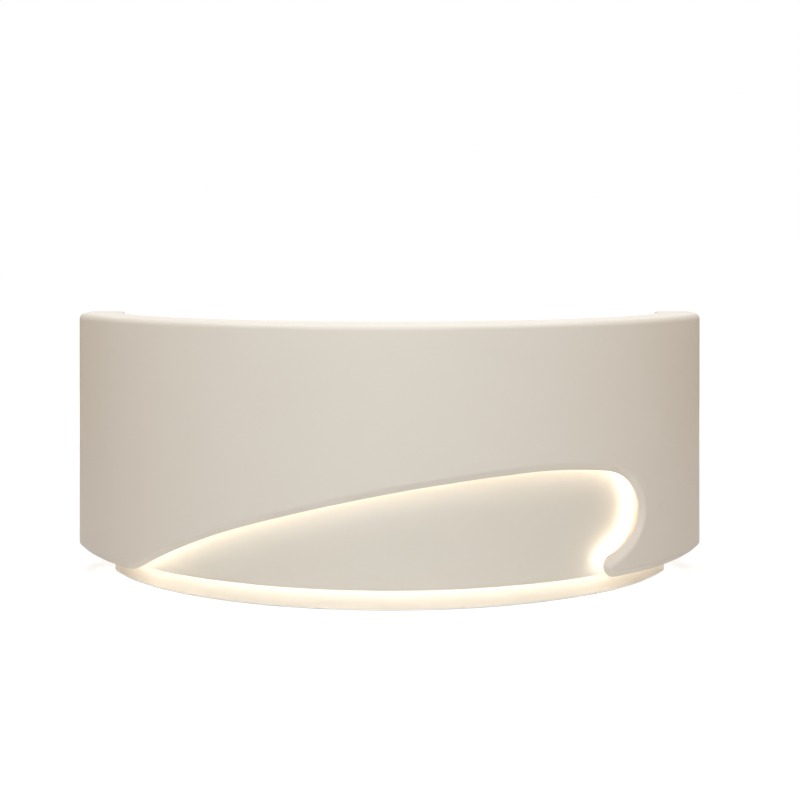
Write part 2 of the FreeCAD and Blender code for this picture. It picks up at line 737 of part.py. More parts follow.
def make_lead_clips():
    """Saddles that hold the plinth's lead to the back of the recess panel, evenly spaced."""
    x = PLINTH_LEAD_X
    y = Y_FRONT + PLINTH_LEAD_OFFSET
    spacing = (RECESS_TOP - DECK_TOP) / (CLIP_COUNT + 1)
    solids = []
    for number in range(CLIP_COUNT):
        low = DECK_TOP + spacing * (number + 1) - CLIP_SIZE.z / 2.0
        high = low + CLIP_SIZE.z
        front = rail_y(RECESS_SETBACK + RECESS_THICK / 2.0, x)
        block = box(x - CLIP_SIZE.x / 2, x + CLIP_SIZE.x / 2, front, y + CLIP_SIZE.y / 2, low, high)
        block = block.cut(band(RECESS_SETBACK, RECESS_BACK, low, high))
        block = block.cut(upright_cylinder(LEAD_DIAMETER, low, high, x, y))
        solids.append(max(block.Solids, key=lambda solid: solid.BoundBox.YMax))
    return Part.makeCompound(solids)


# Worktop: a board inside the wall, with a rounded edge towards the operator and two grommets let in
GROMMET_Y = rail_y(WALL_THICK, GROMMET_X) + GROMMET_FROM_LINER
GROMMET_SEAT = WORKTOP_TOP - GROMMET_FLANGE_THICK


def make_worktop():
    worktop = board(WALL_THICK, WORKTOP_BOTTOM, WORKTOP_TOP, Y_BACK)
    edges = []
    for edge in worktop.Edges:
        if edge.BoundBox.YMin > Y_BACK - NEAR and edge.BoundBox.XLength > WORKTOP_THICK:
            edges.append(edge)
    worktop = worktop.makeFillet(min(WORKTOP_EDGE_RADIUS, WORKTOP_THICK / 2.0 - ROUNDING_MARGIN), edges)
    rebate = GROMMET_FLANGE_DIAMETER + 2 * GROMMET_REBATE_PLAY
    low = WORKTOP_BOTTOM - OVERRUN
    high = WORKTOP_TOP + OVERRUN
    for x in (-GROMMET_X, GROMMET_X):
        worktop = worktop.cut(upright_cylinder(GROMMET_HOLE_DIAMETER, low, high, x, GROMMET_Y))
        worktop = worktop.cut(upright_cylinder(rebate, GROMMET_SEAT, high, x, GROMMET_Y))
    return worktop


def make_worktop_cleat():
    low = WORKTOP_BOTTOM - CLEAT_HEIGHT
    return band(WALL_THICK, WALL_THICK + CLEAT_THICK, low, WORKTOP_BOTTOM, CARCASS_FRONT_Y)


# Cabinets under the worktop: drawers on the left, a cupboard on the right
CABINET_INNER_X = KNEE_HALF_WIDTH
CABINET_OUTER_X = KNEE_HALF_WIDTH + CABINET_WIDTH
CABINET_BACK_Y = rail_y(WALL_THICK + CLEAT_THICK, CABINET_OUTER_X) + CABINET_FROM_CLEAT
FRONT_Y0 = CARCASS_FRONT_Y + SEAT_GAP
FRONT_Y1 = FRONT_Y0 + FRONT_THICK
FRONT_BOTTOM = DECK_BOTTOM + FRONT_FOOT_GAP
FRONT_TOP = WORKTOP_BOTTOM - FRONT_GAP


def make_cabinet_side(x0):
    return box(x0, x0 + SIDE_THICK, CABINET_BACK_Y, CARCASS_FRONT_Y, DECK_TOP, WORKTOP_BOTTOM)


def make_cabinet_back(side):
    inner = CABINET_INNER_X + SIDE_THICK
    outer = CABINET_OUTER_X - SIDE_THICK
    panel = box(inner, outer, CABINET_BACK_Y, CABINET_BACK_Y + BACK_THICK, DECK_TOP, WORKTOP_BOTTOM)
    return panel if side > 0 else mirror_x(panel)


def finger_grip(x0, x1, top):
    """Rebate along a front's outer top edge, and behind its lip a groove for the fingers."""
    left = x0 - OVERRUN
    right = x1 + OVERRUN
    ledge = top - GRIP_HEIGHT
    back = FRONT_Y1 - GRIP_DEPTH
    rebate = box(left, right, back, FRONT_Y1 + OVERRUN, ledge, top + OVERRUN)
    groove = box(left, right, back, FRONT_Y1 - GRIP_LIP, ledge - GRIP_GROOVE, ledge + OVERRUN)
    return rebate.fuse(groove)


def make_front(x0, x1, z0, z1):
    """Drawer front or door: a flat board with a finger grip worked along its top edge."""
    front = box(x0, x1, FRONT_Y0, FRONT_Y1, z0, z1).cut(finger_grip(x0, x1, z1))
    edges = [edge for edge in front.Edges if edge.BoundBox.YMin > FRONT_Y1 - NEAR]
    return front.makeFillet(min(FRONT_EDGE_RADIUS, GRIP_LIP / 2.0), edges)


UPPER_FRONT_BOTTOM = FRONT_TOP - UPPER_FRONT_HEIGHT
DRAWERS = [
    ("1", UPPER_FRONT_BOTTOM, FRONT_TOP),
    ("2", FRONT_BOTTOM, UPPER_FRONT_BOTTOM - FRONT_GAP),
]
DRAWER_X0 = -CABINET_OUTER_X + SIDE_THICK + RUNNER_GAP
DRAWER_X1 = -CABINET_INNER_X - SIDE_THICK - RUNNER_GAP
DRAWER_BACK_Y = CABINET_BACK_Y + BACK_THICK + DRAWER_BACK_GAP


def drawer_box_levels(z0, z1):
    low = max(z0, DECK_TOP) + DRAWER_BOTTOM
    return low, z1 - DRAWER_HEADROOM


def make_drawer_box(z0, z1):
    low, high = drawer_box_levels(z0, z1)
    outer = box(DRAWER_X0, DRAWER_X1, DRAWER_BACK_Y, FRONT_Y0, low, high)
    wall = DRAWER_WALL
    floor = low + DRAWER_BOTTOM
    back = DRAWER_BACK_Y + wall
    hollow = box(DRAWER_X0 + wall, DRAWER_X1 - wall, back, FRONT_Y0 - wall, floor, high + OVERRUN)
    return outer.cut(hollow)


def whole_steps(room):
    """Longest runner, in whole steps, that fits in a depth."""
    return RUNNER_STEP * math.floor(room / RUNNER_STEP)


def runner_part(x0, x1, half_height, z, y0, length):
    return Part.makeBox(x1 - x0, length, 2 * half_height, V(x0, y0, z - half_height))


def runner_outer(z, y0, length):
    """Fixed channel, screwed to the wall at x = 0 and open towards +X."""
    half = RUNNER_HEIGHT / 2.0
    blank = runner_part(0, RUNNER_OUTER_DEPTH, half, z, y0, length)
    return blank.cut(runner_part(RUNNER_SHEET, RUNNER_OUTER_DEPTH, half - RUNNER_SHEET, z, y0, length))


def runner_mid(z, y0, length):
    """Middle member: an I section that runs inside the fixed channel."""
    half = RUNNER_HEIGHT / 2.0 - RUNNER_SHEET - RUNNER_PLAY
    web_end = RUNNER_WEB + RUNNER_SHEET
    blank = runner_part(RUNNER_MID_NEAR, RUNNER_MID_FAR, half, z, y0, length)
    blank = blank.cut(runner_part(RUNNER_MID_NEAR, RUNNER_WEB, half - RUNNER_SHEET, z, y0, length))
    return blank.cut(runner_part(web_end, RUNNER_MID_FAR, half - RUNNER_SHEET, z, y0, length))


def runner_inner(z, y0, length):
    """Moving member: a channel that runs inside the middle one and is screwed to the drawer."""
    half = RUNNER_HEIGHT / 2.0 - 2 * RUNNER_SHEET - 2 * RUNNER_PLAY
    x0 = RUNNER_WEB + RUNNER_SHEET + RUNNER_WEB_PLAY
    x1 = RUNNER_GAP - RUNNER_SHEET
    blank = runner_part(x0, RUNNER_GAP, half, z, y0, length)
    return blank.cut(runner_part(x0, x1, half - RUNNER_SHEET, z, y0, length))


def runner_pair(member, left_wall, right_wall, z, y0, length):
    """A member on the wall to the left of a drawer, and its mirror image on the right one."""
    left = member(z, y0, length)
    right = mirror_x(left)
    left.translate(V(left_wall, 0, 0))
    right.translate(V(right_wall, 0, 0))
    return Part.makeCompound([left, right])


DRAWER_RUNNER_LENGTH = whole_steps(CARCASS_FRONT_Y - RUNNER_SETBACK - CABINET_BACK_Y - BACK_THICK)
DRAWER_RUNNER_Y = CARCASS_FRONT_Y - RUNNER_SETBACK - DRAWER_RUNNER_LENGTH


def drawer_runners(member, z0, z1):
    low, high = drawer_box_levels(z0, z1)
    left = -CABINET_OUTER_X + SIDE_THICK
    right = -CABINET_INNER_X - SIDE_THICK
    return runner_pair(member, left, right, (low + high) / 2.0, DRAWER_RUNNER_Y, DRAWER_RUNNER_LENGTH)


def save_drawers():
    fixed = []
    for name, z0, z1 in DRAWERS:
        front = make_front(-CABINET_OUTER_X + FRONT_SIDE_GAP, -CABINET_INNER_X - FRONT_SIDE_GAP, z0, z1)
        drawer_box = make_drawer_box(z0, z1)
        if name == LOCKED_DRAWER:
            front = front.cut(lock_hole())
            drawer_box = drawer_box.cut(lock_space())
        save(front, "drawer_front_" + name)
        save(drawer_box, "drawer_box_" + name)
        save(drawer_runners(runner_mid, z0, z1), "drawer_runner_mid_" + name)
        save(drawer_runners(runner_inner, z0, z1), "drawer_runner_inner_" + name)
        fixed += drawer_runners(runner_outer, z0, z1).Solids
    save(Part.makeCompound(fixed), "drawer_runner_outer")


# Lock of the upper drawer: a barrel in the front, a core that turns with its cam, and a strike under
# the worktop. A quarter turn brings the cam from the side up behind the strike.
LOCKED_DRAWER = "1"
LOCK_X = -KNEE_HALF_WIDTH - CABINET_WIDTH / 2.0
LOCK_Z = FRONT_TOP - GRIP_HEIGHT - LOCK_BELOW_GRIP
LOCK_CAM_Y = FRONT_Y0 - LOCK_TAIL


def lock_hole():
    return along_y(LOCK_BARREL_DIAMETER, FRONT_Y0 - OVERRUN, FRONT_Y1 + OVERRUN, LOCK_X, LOCK_Z)


def lock_space():
    """Notch in the drawer box's front wall, open at the top, for the cam and the strike."""
    reach = LOCK_CAM_REACH + LOCK_CAM_CLEARANCE
    inner = FRONT_Y0 - DRAWER_WALL - OVERRUN
    return box(LOCK_X - reach, LOCK_X + reach, inner, FRONT_Y0 + OVERRUN, LOCK_Z - reach, FRONT_TOP)


def make_lock_barrel():
    face = FRONT_Y1 + LOCK_FACE
    barrel = along_y(LOCK_BARREL_DIAMETER, FRONT_Y0, FRONT_Y1, LOCK_X, LOCK_Z)
    flange = along_y(LOCK_FLANGE_DIAMETER, FRONT_Y1, face, LOCK_X, LOCK_Z)
    bore = along_y(LOCK_CORE_DIAMETER + 2 * LOCK_PLAY, FRONT_Y0 - OVERRUN, face + OVERRUN, LOCK_X, LOCK_Z)
    return fuse([barrel, flange]).cut(bore)


def make_lock_core():
    face = FRONT_Y1 + LOCK_FACE + LOCK_CORE_PROUD
    half = LOCK_CAM_WIDTH / 2.0
    core = along_y(LOCK_CORE_DIAMETER, LOCK_CAM_Y, face, LOCK_X, LOCK_Z)
    keyway = centred_box(KEYWAY_SIZE, face - KEYWAY_SIZE.y, face + OVERRUN, LOCK_X, LOCK_Z)
    cam_end = LOCK_CAM_Y + LOCK_CAM_THICK
    cam = box(LOCK_X - LOCK_CAM_REACH, LOCK_X, LOCK_CAM_Y, cam_end, LOCK_Z - half, LOCK_Z + half)
    return fuse([core, cam]).cut(keyway)


def make_lock_strike():
    """Angle of sheet steel under the worktop, whose leg hangs just in front of the raised cam."""
    x0 = LOCK_X - STRIKE_WIDTH / 2.0
    x1 = LOCK_X + STRIKE_WIDTH / 2.0
    leg_y = LOCK_CAM_Y + LOCK_CAM_THICK + STRIKE_FROM_CAM
    leg_end = leg_y + STRIKE_SHEET
    low = LOCK_Z + LOCK_CAM_REACH - STRIKE_OVERLAP
    leg = box(x0, x1, leg_y, leg_end, low, WORKTOP_BOTTOM)
    flange = box(x0, x1, leg_end - STRIKE_FLANGE, leg_end, WORKTOP_BOTTOM - STRIKE_SHEET, WORKTOP_BOTTOM)
    return fuse([leg, flange])


# Keyboard tray in the knee space, with a cheek at each end that the runners are screwed to
TRAY_TOP = WORKTOP_BOTTOM - TRAY_BELOW_WORKTOP
TRAY_FRONT_Y = Y_BACK - TRAY_FRONT_INSET
TRAY_RUNNER_Z = TRAY_TOP - TRAY_THICK / 2.0
TRAY_RUNNER_ROOM = min(TRAY_DEPTH, TRAY_FRONT_Y - CABINET_BACK_Y) - TRAY_RUNNER_SETBACK
TRAY_RUNNER_LENGTH = whole_steps(TRAY_RUNNER_ROOM)
TRAY_RUNNER_Y = TRAY_FRONT_Y - TRAY_RUNNER_SETBACK - TRAY_RUNNER_LENGTH


def make_keyboard_tray():
    half = KNEE_HALF_WIDTH - RUNNER_GAP
    back = TRAY_FRONT_Y - TRAY_DEPTH
    low = TRAY_TOP - TRAY_THICK
    high = TRAY_TOP + TRAY_LIP_HEIGHT
    tray = box(-half, half, back, TRAY_FRONT_Y, low, TRAY_TOP)
    lip = box(-half, half, back, back + TRAY_LIP_THICK, TRAY_TOP, high)
    cheek = box(half - TRAY_CHEEK_THICK, half, back, TRAY_FRONT_Y, low - TRAY_CHEEK_DROP, high)
    return fuse([tray, lip, cheek, mirror_x(cheek)])


def tray_runners(member):
    walls = (-KNEE_HALF_WIDTH, KNEE_HALF_WIDTH)
    return runner_pair(member, *walls, TRAY_RUNNER_Z, TRAY_RUNNER_Y, TRAY_RUNNER_LENGTH)


# Cupboard: shelf on four pins, and a door on two butt hinges
def make_cupboard_shelf():
    inner = CABINET_INNER_X + SIDE_THICK + SHELF_SIDE_GAP
    outer = CABINET_OUTER_X - SIDE_THICK - SHELF_SIDE_GAP
    back = CABINET_BACK_Y + BACK_THICK
    front = CARCASS_FRONT_Y - SHELF_SETBACK
    return box(inner, outer, back, front, SHELF_HEIGHT, SHELF_HEIGHT + SIDE_THICK)


def make_shelf_pins():
    z = SHELF_HEIGHT - PIN_DIAMETER / 2.0
    inner_face = CABINET_INNER_X + SIDE_THICK
    outer_face = CABINET_OUTER_X - SIDE_THICK
    solids = []
    for y in (CABINET_BACK_Y + PIN_FROM_BACK, CARCASS_FRONT_Y - PIN_FROM_FRONT):
        solids.append(along_x(PIN_DIAMETER, inner_face - PIN_DEPTH, inner_face + PIN_REACH, y, z))
        solids.append(along_x(PIN_DIAMETER, outer_face - PIN_REACH, outer_face + PIN_DEPTH, y, z))
    return Part.makeCompound(solids)


def bore_for(fasteners, shape):
    for fastener in fasteners.Solids:
        shape = shape.cut(fastener)
    return shape


HINGE_X = CABINET_OUTER_X + HINGE_OFFSET
HINGE_Y = CARCASS_FRONT_Y - HINGE_AXIS_SETBACK
DOOR_X1 = CABINET_OUTER_X - FRONT_SIDE_GAP
HINGE_LEVELS = (FRONT_BOTTOM + HINGE_END_DISTANCE, FRONT_TOP - HINGE_END_DISTANCE - HINGE_LENGTH)
KNUCKLE_LENGTH = HINGE_LENGTH / 3.0


def make_cupboard_door():
    return make_front(CABINET_INNER_X + FRONT_SIDE_GAP, DOOR_X1, FRONT_BOTTOM, FRONT_TOP)


def knuckle(z0, z1):
    return upright_cylinder(HINGE_KNUCKLE_DIAMETER, z0, z1, HINGE_X, HINGE_Y)


def hinge_bore(z):
    diameter = HINGE_PIN_DIAMETER + 2 * HINGE_PLAY
    return upright_cylinder(diameter, z - OVERRUN, z + HINGE_LENGTH + OVERRUN, HINGE_X, HINGE_Y)


def make_hinge_fixed_leaves():
    """Leaves on the cupboard's outer side, each with a knuckle at its top and at its bottom."""
    clear = HINGE_KNUCKLE_DIAMETER / 2.0 + HINGE_CLEARANCE
    x1 = CABINET_OUTER_X + HINGE_LEAF
    solids = []
    for z in HINGE_LEVELS:
        top = z + HINGE_LENGTH
        low = z + KNUCKLE_LENGTH
        high = top - KNUCKLE_LENGTH
        plate = box(CABINET_OUTER_X, x1, HINGE_Y - HINGE_LEAF_REACH, HINGE_Y, z, top)
        notch = box(CABINET_OUTER_X - OVERRUN, HINGE_X, HINGE_Y - clear, HINGE_Y + clear, low, high)
        solids.append(fuse([plate.cut(notch), knuckle(z, low), knuckle(high, top)]).cut(hinge_bore(z)))
    return Part.makeCompound(solids)


def make_hinge_door_leaves():
    """Leaves on the door's edge, each with the middle knuckle and a link round the cupboard's side."""
    solids = []
    for z in HINGE_LEVELS:
        low = z + KNUCKLE_LENGTH + SEAT_GAP
        high = z + 2 * KNUCKLE_LENGTH - SEAT_GAP
        y0 = FRONT_Y0 + HINGE_LEAF_INSET
        y1 = FRONT_Y1 - HINGE_LEAF_INSET
        plate = box(DOOR_X1, DOOR_X1 + HINGE_LEAF, y0, y1, z, z + HINGE_LENGTH)
        link = box(DOOR_X1, HINGE_X, HINGE_Y, FRONT_Y0 + HINGE_LINK_OVERLAP, low, high)
        side_edge = box(DOOR_X1, CABINET_OUTER_X + SEAT_GAP, HINGE_Y, FRONT_Y0, low, high)
        leaf = fuse([plate, link.cut(side_edge), knuckle(low, high)])
        solids.append(leaf.cut(hinge_bore(z)))
    return Part.makeCompound(solids)


def make_hinge_pins():
    solids = []
    for z in HINGE_LEVELS:
        solids.append(upright_cylinder(HINGE_PIN_DIAMETER, z, z + HINGE_LENGTH, HINGE_X, HINGE_Y))
    return Part.makeCompound(solids)


def make_bay_shelf_right():
    """Open shelf between the cupboard and the curved end of the wall."""
    front = CARCASS_FRONT_Y - BAY_SHELF_SETBACK
    shelf = board(WALL_THICK, BAY_SHELF_HEIGHT, BAY_SHELF_HEIGHT + BOARD_THICK, front)
    return shelf.common(box(CABINET_OUTER_X, HALF, Y_FRONT, Y_BACK, 0, HEIGHT))


def make_end_boards():
    """Boards that close the wall's two ends on the operator's side."""
    right = box(HALF - WALL_THICK, HALF - SHELL_THICK, END_BOARD_Y, Y_BACK, DECK_TOP, CAP_BOTTOM)
    return Part.makeCompound([right, mirror_x(right)])


# Light switch on the operator's side of the wall
SWITCH_FACE_Y = Y_FRONT + WALL_THICK + SWITCH_SEAT_GAP
ROCKER_AXIS_Y = SWITCH_FACE_Y - ROCKER_AXIS_DEPTH
ROCKER_PIN_HALF = SWITCH_BODY.x / 2.0 - ROCKER_PIN_SEAT - ROCKER_PIN_END_GAP


def make_switch_housing():
    flange_end = SWITCH_FACE_Y + SWITCH_FLANGE
    flange = centred_box(V(SWITCH_WIDTH, 0, SWITCH_HEIGHT), SWITCH_FACE_Y, flange_end, 0, SWITCH_Z)
    body = centred_box(SWITCH_BODY, SWITCH_FACE_Y - SWITCH_BODY.y + OVERRUN, SWITCH_FACE_Y, 0, SWITCH_Z)
    room = ROCKER_SIZE + V(2 * ROCKER_PLAY, 0, 2 * ROCKER_PLAY)
    hollow_floor = flange_end - ROCKER_SIZE.y - ROCKER_AXIS_DEPTH
    hollow = centred_box(room, hollow_floor, flange_end + OVERRUN, 0, SWITCH_Z)
    bore_half = ROCKER_PIN_HALF + ROCKER_PIN_END_GAP
    bore = along_x(ROCKER_PIN_DIAMETER + 2 * ROCKER_PIN_PLAY, -bore_half, bore_half, ROCKER_AXIS_Y, SWITCH_Z)
    return fuse([flange, body]).cut(hollow).cut(bore)


def make_switch_rocker():
    """Rocker: a drum about its pin, with one half of its face hollowed for the finger."""
    half = ROCKER_SIZE.x / 2.0
    drum = along_x(ROCKER_SIZE.z + 2 * ROCKER_ROUND, -half, half, ROCKER_AXIS_Y, SWITCH_Z)
    pin = along_x(ROCKER_PIN_DIAMETER, -ROCKER_PIN_HALF, ROCKER_PIN_HALF, ROCKER_AXIS_Y, SWITCH_Z)
    dish_y = SWITCH_FACE_Y + SWITCH_FLANGE + ROCKER_DISH_OUT
    dish_z = SWITCH_Z + ROCKER_DISH_UP
    dish = along_x(2 * ROCKER_DISH_RADIUS, -half - OVERRUN, half + OVERRUN, dish_y, dish_z)
    return fuse([drum.cut(dish), pin])


# Cable grommets let into the worktop, each with a cap that turns to open or close its slot
def make_grommet_rings():
    low = WORKTOP_TOP - GROMMET_SLEEVE_DEPTH
    seat_diameter = GROMMET_BORE_DIAMETER + 2 * GROMMET_SEAT_WIDTH
    seat_z = WORKTOP_TOP - GROMMET_CAP_THICK
    high = WORKTOP_TOP + OVERRUN
    solids = []
    for x in (-GROMMET_X, GROMMET_X):
        flange = upright_cylinder(GROMMET_FLANGE_DIAMETER, GROMMET_SEAT, WORKTOP_TOP, x, GROMMET_Y)
        sleeve = upright_cylinder(GROMMET_HOLE_DIAMETER, low, GROMMET_SEAT, x, GROMMET_Y)
        bore = upright_cylinder(GROMMET_BORE_DIAMETER, low - OVERRUN, high, x, GROMMET_Y)
        seat = upright_cylinder(seat_diameter, seat_z, high, x, GROMMET_Y)
        solids.append(fuse([flange, sleeve]).cut(bore).cut(seat))
    return Part.makeCompound(solids)


def make_grommet_cap(x):
    low = WORKTOP_TOP - GROMMET_CAP_THICK
    radius = GROMMET_BORE_DIAMETER / 2.0 + GROMMET_SEAT_WIDTH - GROMMET_CAP_PLAY
    half_slot = GROMMET_SLOT_DIAMETER / 2.0
    slot_y = GROMMET_Y + radius - half_slot
    cap = upright_cylinder(2 * radius, low, WORKTOP_TOP, x, GROMMET_Y)
    slot = upright_cylinder(GROMMET_SLOT_DIAMETER, low - OVERRUN, WORKTOP_TOP + OVERRUN, x, slot_y)
    way = box(x - half_slot, x + half_slot, slot_y, slot_y + radius, low - OVERRUN, WORKTOP_TOP + OVERRUN)
    return cap.cut(slot).cut(way)


def make_worktop_screws():
    """Screws that hold the worktop down from under the cleat."""
    low = WORKTOP_BOTTOM - CLEAT_HEIGHT
    solids = []
    for degrees in SCREW_ANGLES:
        for side in (-1, 1):
            point = plan_point(math.radians(degrees), WALL_THICK + CLEAT_THICK / 2.0, side)
            head = upright_cylinder(SCREW_HEAD_DIAMETER, low - SCREW_HEAD_THICK, low, point.x, point.y)
            shank = upright_cylinder(SCREW_DIAMETER, low, low + SCREW_LENGTH, point.x, point.y)
            solids.append(fuse([head, shank]))
    return Part.makeCompound(solids)


# Wall
save(make_front_shell(), "front_shell")
save(make_top_cap(), "top_cap")
save(make_inner_liner(), "inner_liner")
save(make_former(CAP_BOTTOM - BOARD_THICK), "former_top")
save(make_former_middle(), "former_middle")
save(make_upper_studs(), "upper_studs")
save(make_lower_studs(), "lower_studs")
save(make_recess_panel(), "recess_panel")
save(make_end_boards(), "end_boards")

# Base
save(make_base_deck(), "base_deck")
save(make_plinth_front(), "plinth_front")
save(make_plinth_rear_right(), "plinth_rear_right")
save(mirror_x(make_plinth_rear_right()), "plinth_rear_left")
save(make_levelling_legs(), "levelling_legs")

# Lights
save(make_led_channel(), "led_channel")
save(make_led_diffuser(), "led_diffuser")
save(make_plinth_led_channel(), "plinth_led_channel")
save(make_plinth_led_diffuser(), "plinth_led_diffuser")
save(make_led_driver(), "led_driver")
save(make_power_inlet(), "power_inlet")
save(make_led_leads(), "led_leads")
save(make_lead_clips(), "lead_clips")
save(make_switch_housing(), "switch_housing")
save(make_switch_rocker(), "switch_rocker")

# Worktop
screws = make_worktop_screws()
save(bore_for(screws, make_worktop()), "worktop")
save(bore_for(screws, make_worktop_cleat()), "worktop_cleat")
save(screws, "worktop_screws")
save(make_grommet_rings(), "grommet_rings")
save(make_grommet_cap(-GROMMET_X), "grommet_cap_left")
save(make_grommet_cap(GROMMET_X), "grommet_cap_right")

# Drawers
save(make_cabinet_side(-CABINET_OUTER_X), "drawer_side_outer")
save(make_cabinet_side(-CABINET_INNER_X - SIDE_THICK), "drawer_side_inner")
save(make_cabinet_back(-1), "drawer_back_panel")
save_drawers()
save(make_lock_barrel(), "lock_barrel")
save(make_lock_core(), "lock_core")
save(make_lock_strike(), "lock_strike")

# Cupboard
pins = make_shelf_pins()
save(bore_for(pins, make_cabinet_side(CABINET_INNER_X)), "cupboard_side_inner")
save(bore_for(pins, make_cabinet_side(CABINET_OUTER_X - SIDE_THICK)), "cupboard_side_outer")
save(make_cabinet_back(1), "cupboard_back_panel")
save(make_cupboard_shelf(), "cupboard_shelf")
save(pins, "shelf_pins")
save(make_cupboard_door(), "cupboard_door")
save(make_hinge_fixed_leaves(), "hinge_fixed_leaves")
save(make_hinge_door_leaves(), "hinge_door_leaves")
save(make_hinge_pins(), "hinge_pins")
save(make_bay_shelf_right(), "bay_shelf_right")
save(mirror_x(make_bay_shelf_right()), "bay_shelf_left")

# Keyboard tray
save(make_keyboard_tray(), "keyboard_tray")
save(tray_runners(runner_outer), "tray_runner_outer")
save(tray_runners(runner_mid), "tray_runner_mid")
save(tray_runners(runner_inner), "tray_runner_inner")
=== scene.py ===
import math

import bpy
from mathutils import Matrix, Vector


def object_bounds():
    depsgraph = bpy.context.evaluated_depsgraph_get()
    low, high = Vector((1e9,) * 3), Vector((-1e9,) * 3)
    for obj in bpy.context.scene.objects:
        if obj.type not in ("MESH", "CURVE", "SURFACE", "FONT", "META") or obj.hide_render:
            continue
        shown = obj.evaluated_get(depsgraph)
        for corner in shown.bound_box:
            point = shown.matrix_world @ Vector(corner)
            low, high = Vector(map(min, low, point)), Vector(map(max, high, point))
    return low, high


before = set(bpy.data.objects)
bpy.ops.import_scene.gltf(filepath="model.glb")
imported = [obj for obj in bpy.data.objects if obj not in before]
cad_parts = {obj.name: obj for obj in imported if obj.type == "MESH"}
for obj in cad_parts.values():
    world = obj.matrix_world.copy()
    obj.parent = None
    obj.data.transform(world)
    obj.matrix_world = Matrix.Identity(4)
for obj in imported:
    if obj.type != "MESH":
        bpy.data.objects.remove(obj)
cad_low, cad_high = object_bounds()

# The camera stands level in front of the counter, a little above its top, as a studio photographer
# would set it. Its centre line looks past the top rim, and the lens shift brings the counter into frame.
IMAGE_SIZE = 800
FOCAL_PIXELS = 1100
HORIZON_ROW = 240.6
CENTRE_COLUMN = 389.6
SENSOR_WIDTH = 36.0
CAMERA_DISTANCE = 3.657
CAMERA_HEIGHT = 1.279

camera_data = bpy.data.cameras.new("camera")
camera_data.sensor_width = SENSOR_WIDTH
camera_data.lens = SENSOR_WIDTH * FOCAL_PIXELS / IMAGE_SIZE
camera_data.shift_x = (IMAGE_SIZE / 2 - CENTRE_COLUMN) / IMAGE_SIZE
camera_data.shift_y = (HORIZON_ROW - IMAGE_SIZE / 2) / IMAGE_SIZE
camera = bpy.data.objects.new("camera", camera_data)
camera.location = (0, cad_low.y - CAMERA_DISTANCE, CAMERA_HEIGHT)
camera.rotation_euler = (math.radians(90), 0, 0)
scene = bpy.context.scene
scene.collection.objects.link(camera)
scene.camera = camera
scene.view_settings.view_transform = "Standard"


def linear(hex_colour):
    """The linear colour, with alpha, of an sRGB hex value."""
    shares = [int(hex_colour[place:place + 2], 16) / 255 for place in (1, 3, 5)]
    return [s / 12.92 if s <= 0.04045 else ((s + 0.055) / 1.055) ** 2.4 for s in shares] + [1.0]


def add(tree, kind, inputs=None, **settings):
    """Add a node with its settings; each input is a value, or another node's output to link."""
    made = tree.nodes.new(kind)
    for name, value in settings.items():
        setattr(made, name, value)
    for socket, value in (inputs or {}).items():
        if isinstance(value, bpy.types.NodeSocket):
            tree.links.new(value, made.inputs[socket])
        else:
            made.inputs[socket].default_value = value
    return made


# White seamless studio: a pale floor that keeps the counter's shadow, and a white surround. The floor's
# glow grows with the distance from the counter, and makes it white to the camera with no stronger lamp.
# Only the camera sees the glow in full; gloss sees MIRRORED_SHARE of it, and it adds no other light.
FLOOR_WIDTH = 60.0
FLOOR_COLOUR = "#E6E9EE"
NEAR_GLOW = 0.5
FAR_GLOW = 0.92
NEAR_REACH = 1.6
FAR_REACH = 5.0
MIRRORED_SHARE = 0.25
SURROUND_COLOUR = "#FFFFFF"
AMBIENT_COLOUR = "#FFE0B4"
AMBIENT_STRENGTH = 0.34

world = bpy.data.worlds.new("studio")
world.use_nodes = True
scene.world = world
tree = world.node_tree
tree.nodes.clear()
path = add(tree, "ShaderNodeLightPath")
seen = path.outputs["Is Camera Ray"]
mirrored = path.outputs["Is Glossy Ray"]
seen_through = path.outputs["Is Transmission Ray"]
seen_or_mirrored = add(tree, "ShaderNodeMath", {0: seen, 1: mirrored}, operation="MAXIMUM").outputs[0]
shows_white = add(tree, "ShaderNodeMath", {0: seen_or_mirrored, 1: seen_through},
                  operation="MAXIMUM").outputs[0]
ambient = add(tree, "ShaderNodeBackground", {"Color": linear(AMBIENT_COLOUR), "Strength": AMBIENT_STRENGTH})
surround = add(tree, "ShaderNodeBackground", {"Color": linear(SURROUND_COLOUR), "Strength": 1.0})
either = add(tree, "ShaderNodeMixShader", {0: shows_white, 1: ambient.outputs[0], 2: surround.outputs[0]})
add(tree, "ShaderNodeOutputWorld", {"Surface": either.outputs[0]})

floor_mesh = bpy.data.meshes.new("studio_floor")
half_floor = FLOOR_WIDTH / 2
corners = [(x * half_floor, y * half_floor, 0) for x, y in ((-1, -1), (1, -1), (1, 1), (-1, 1))]
floor_mesh.from_pydata(corners, [], [(0, 1, 2, 3)])
floor = bpy.data.objects.new("studio_floor", floor_mesh)
scene.collection.objects.link(floor)
floor_paint = bpy.data.materials.new("studio_floor_paint")
floor_paint.use_nodes = True
tree = floor_paint.node_tree
tree.nodes.clear()
path = add(tree, "ShaderNodeLightPath")
matt = add(tree, "ShaderNodeBsdfDiffuse", {"Color": linear(FLOOR_COLOUR)})
from_middle = add(tree, "ShaderNodeTexCoord").outputs["Object"]
reach = add(tree, "ShaderNodeVectorMath", {0: from_middle}, operation="LENGTH").outputs["Value"]
spread = add(tree, "ShaderNodeMapRange", {"Value": reach, "From Min": NEAR_REACH, "From Max": FAR_REACH,
                                          "To Min": NEAR_GLOW, "To Max": FAR_GLOW}).outputs[0]
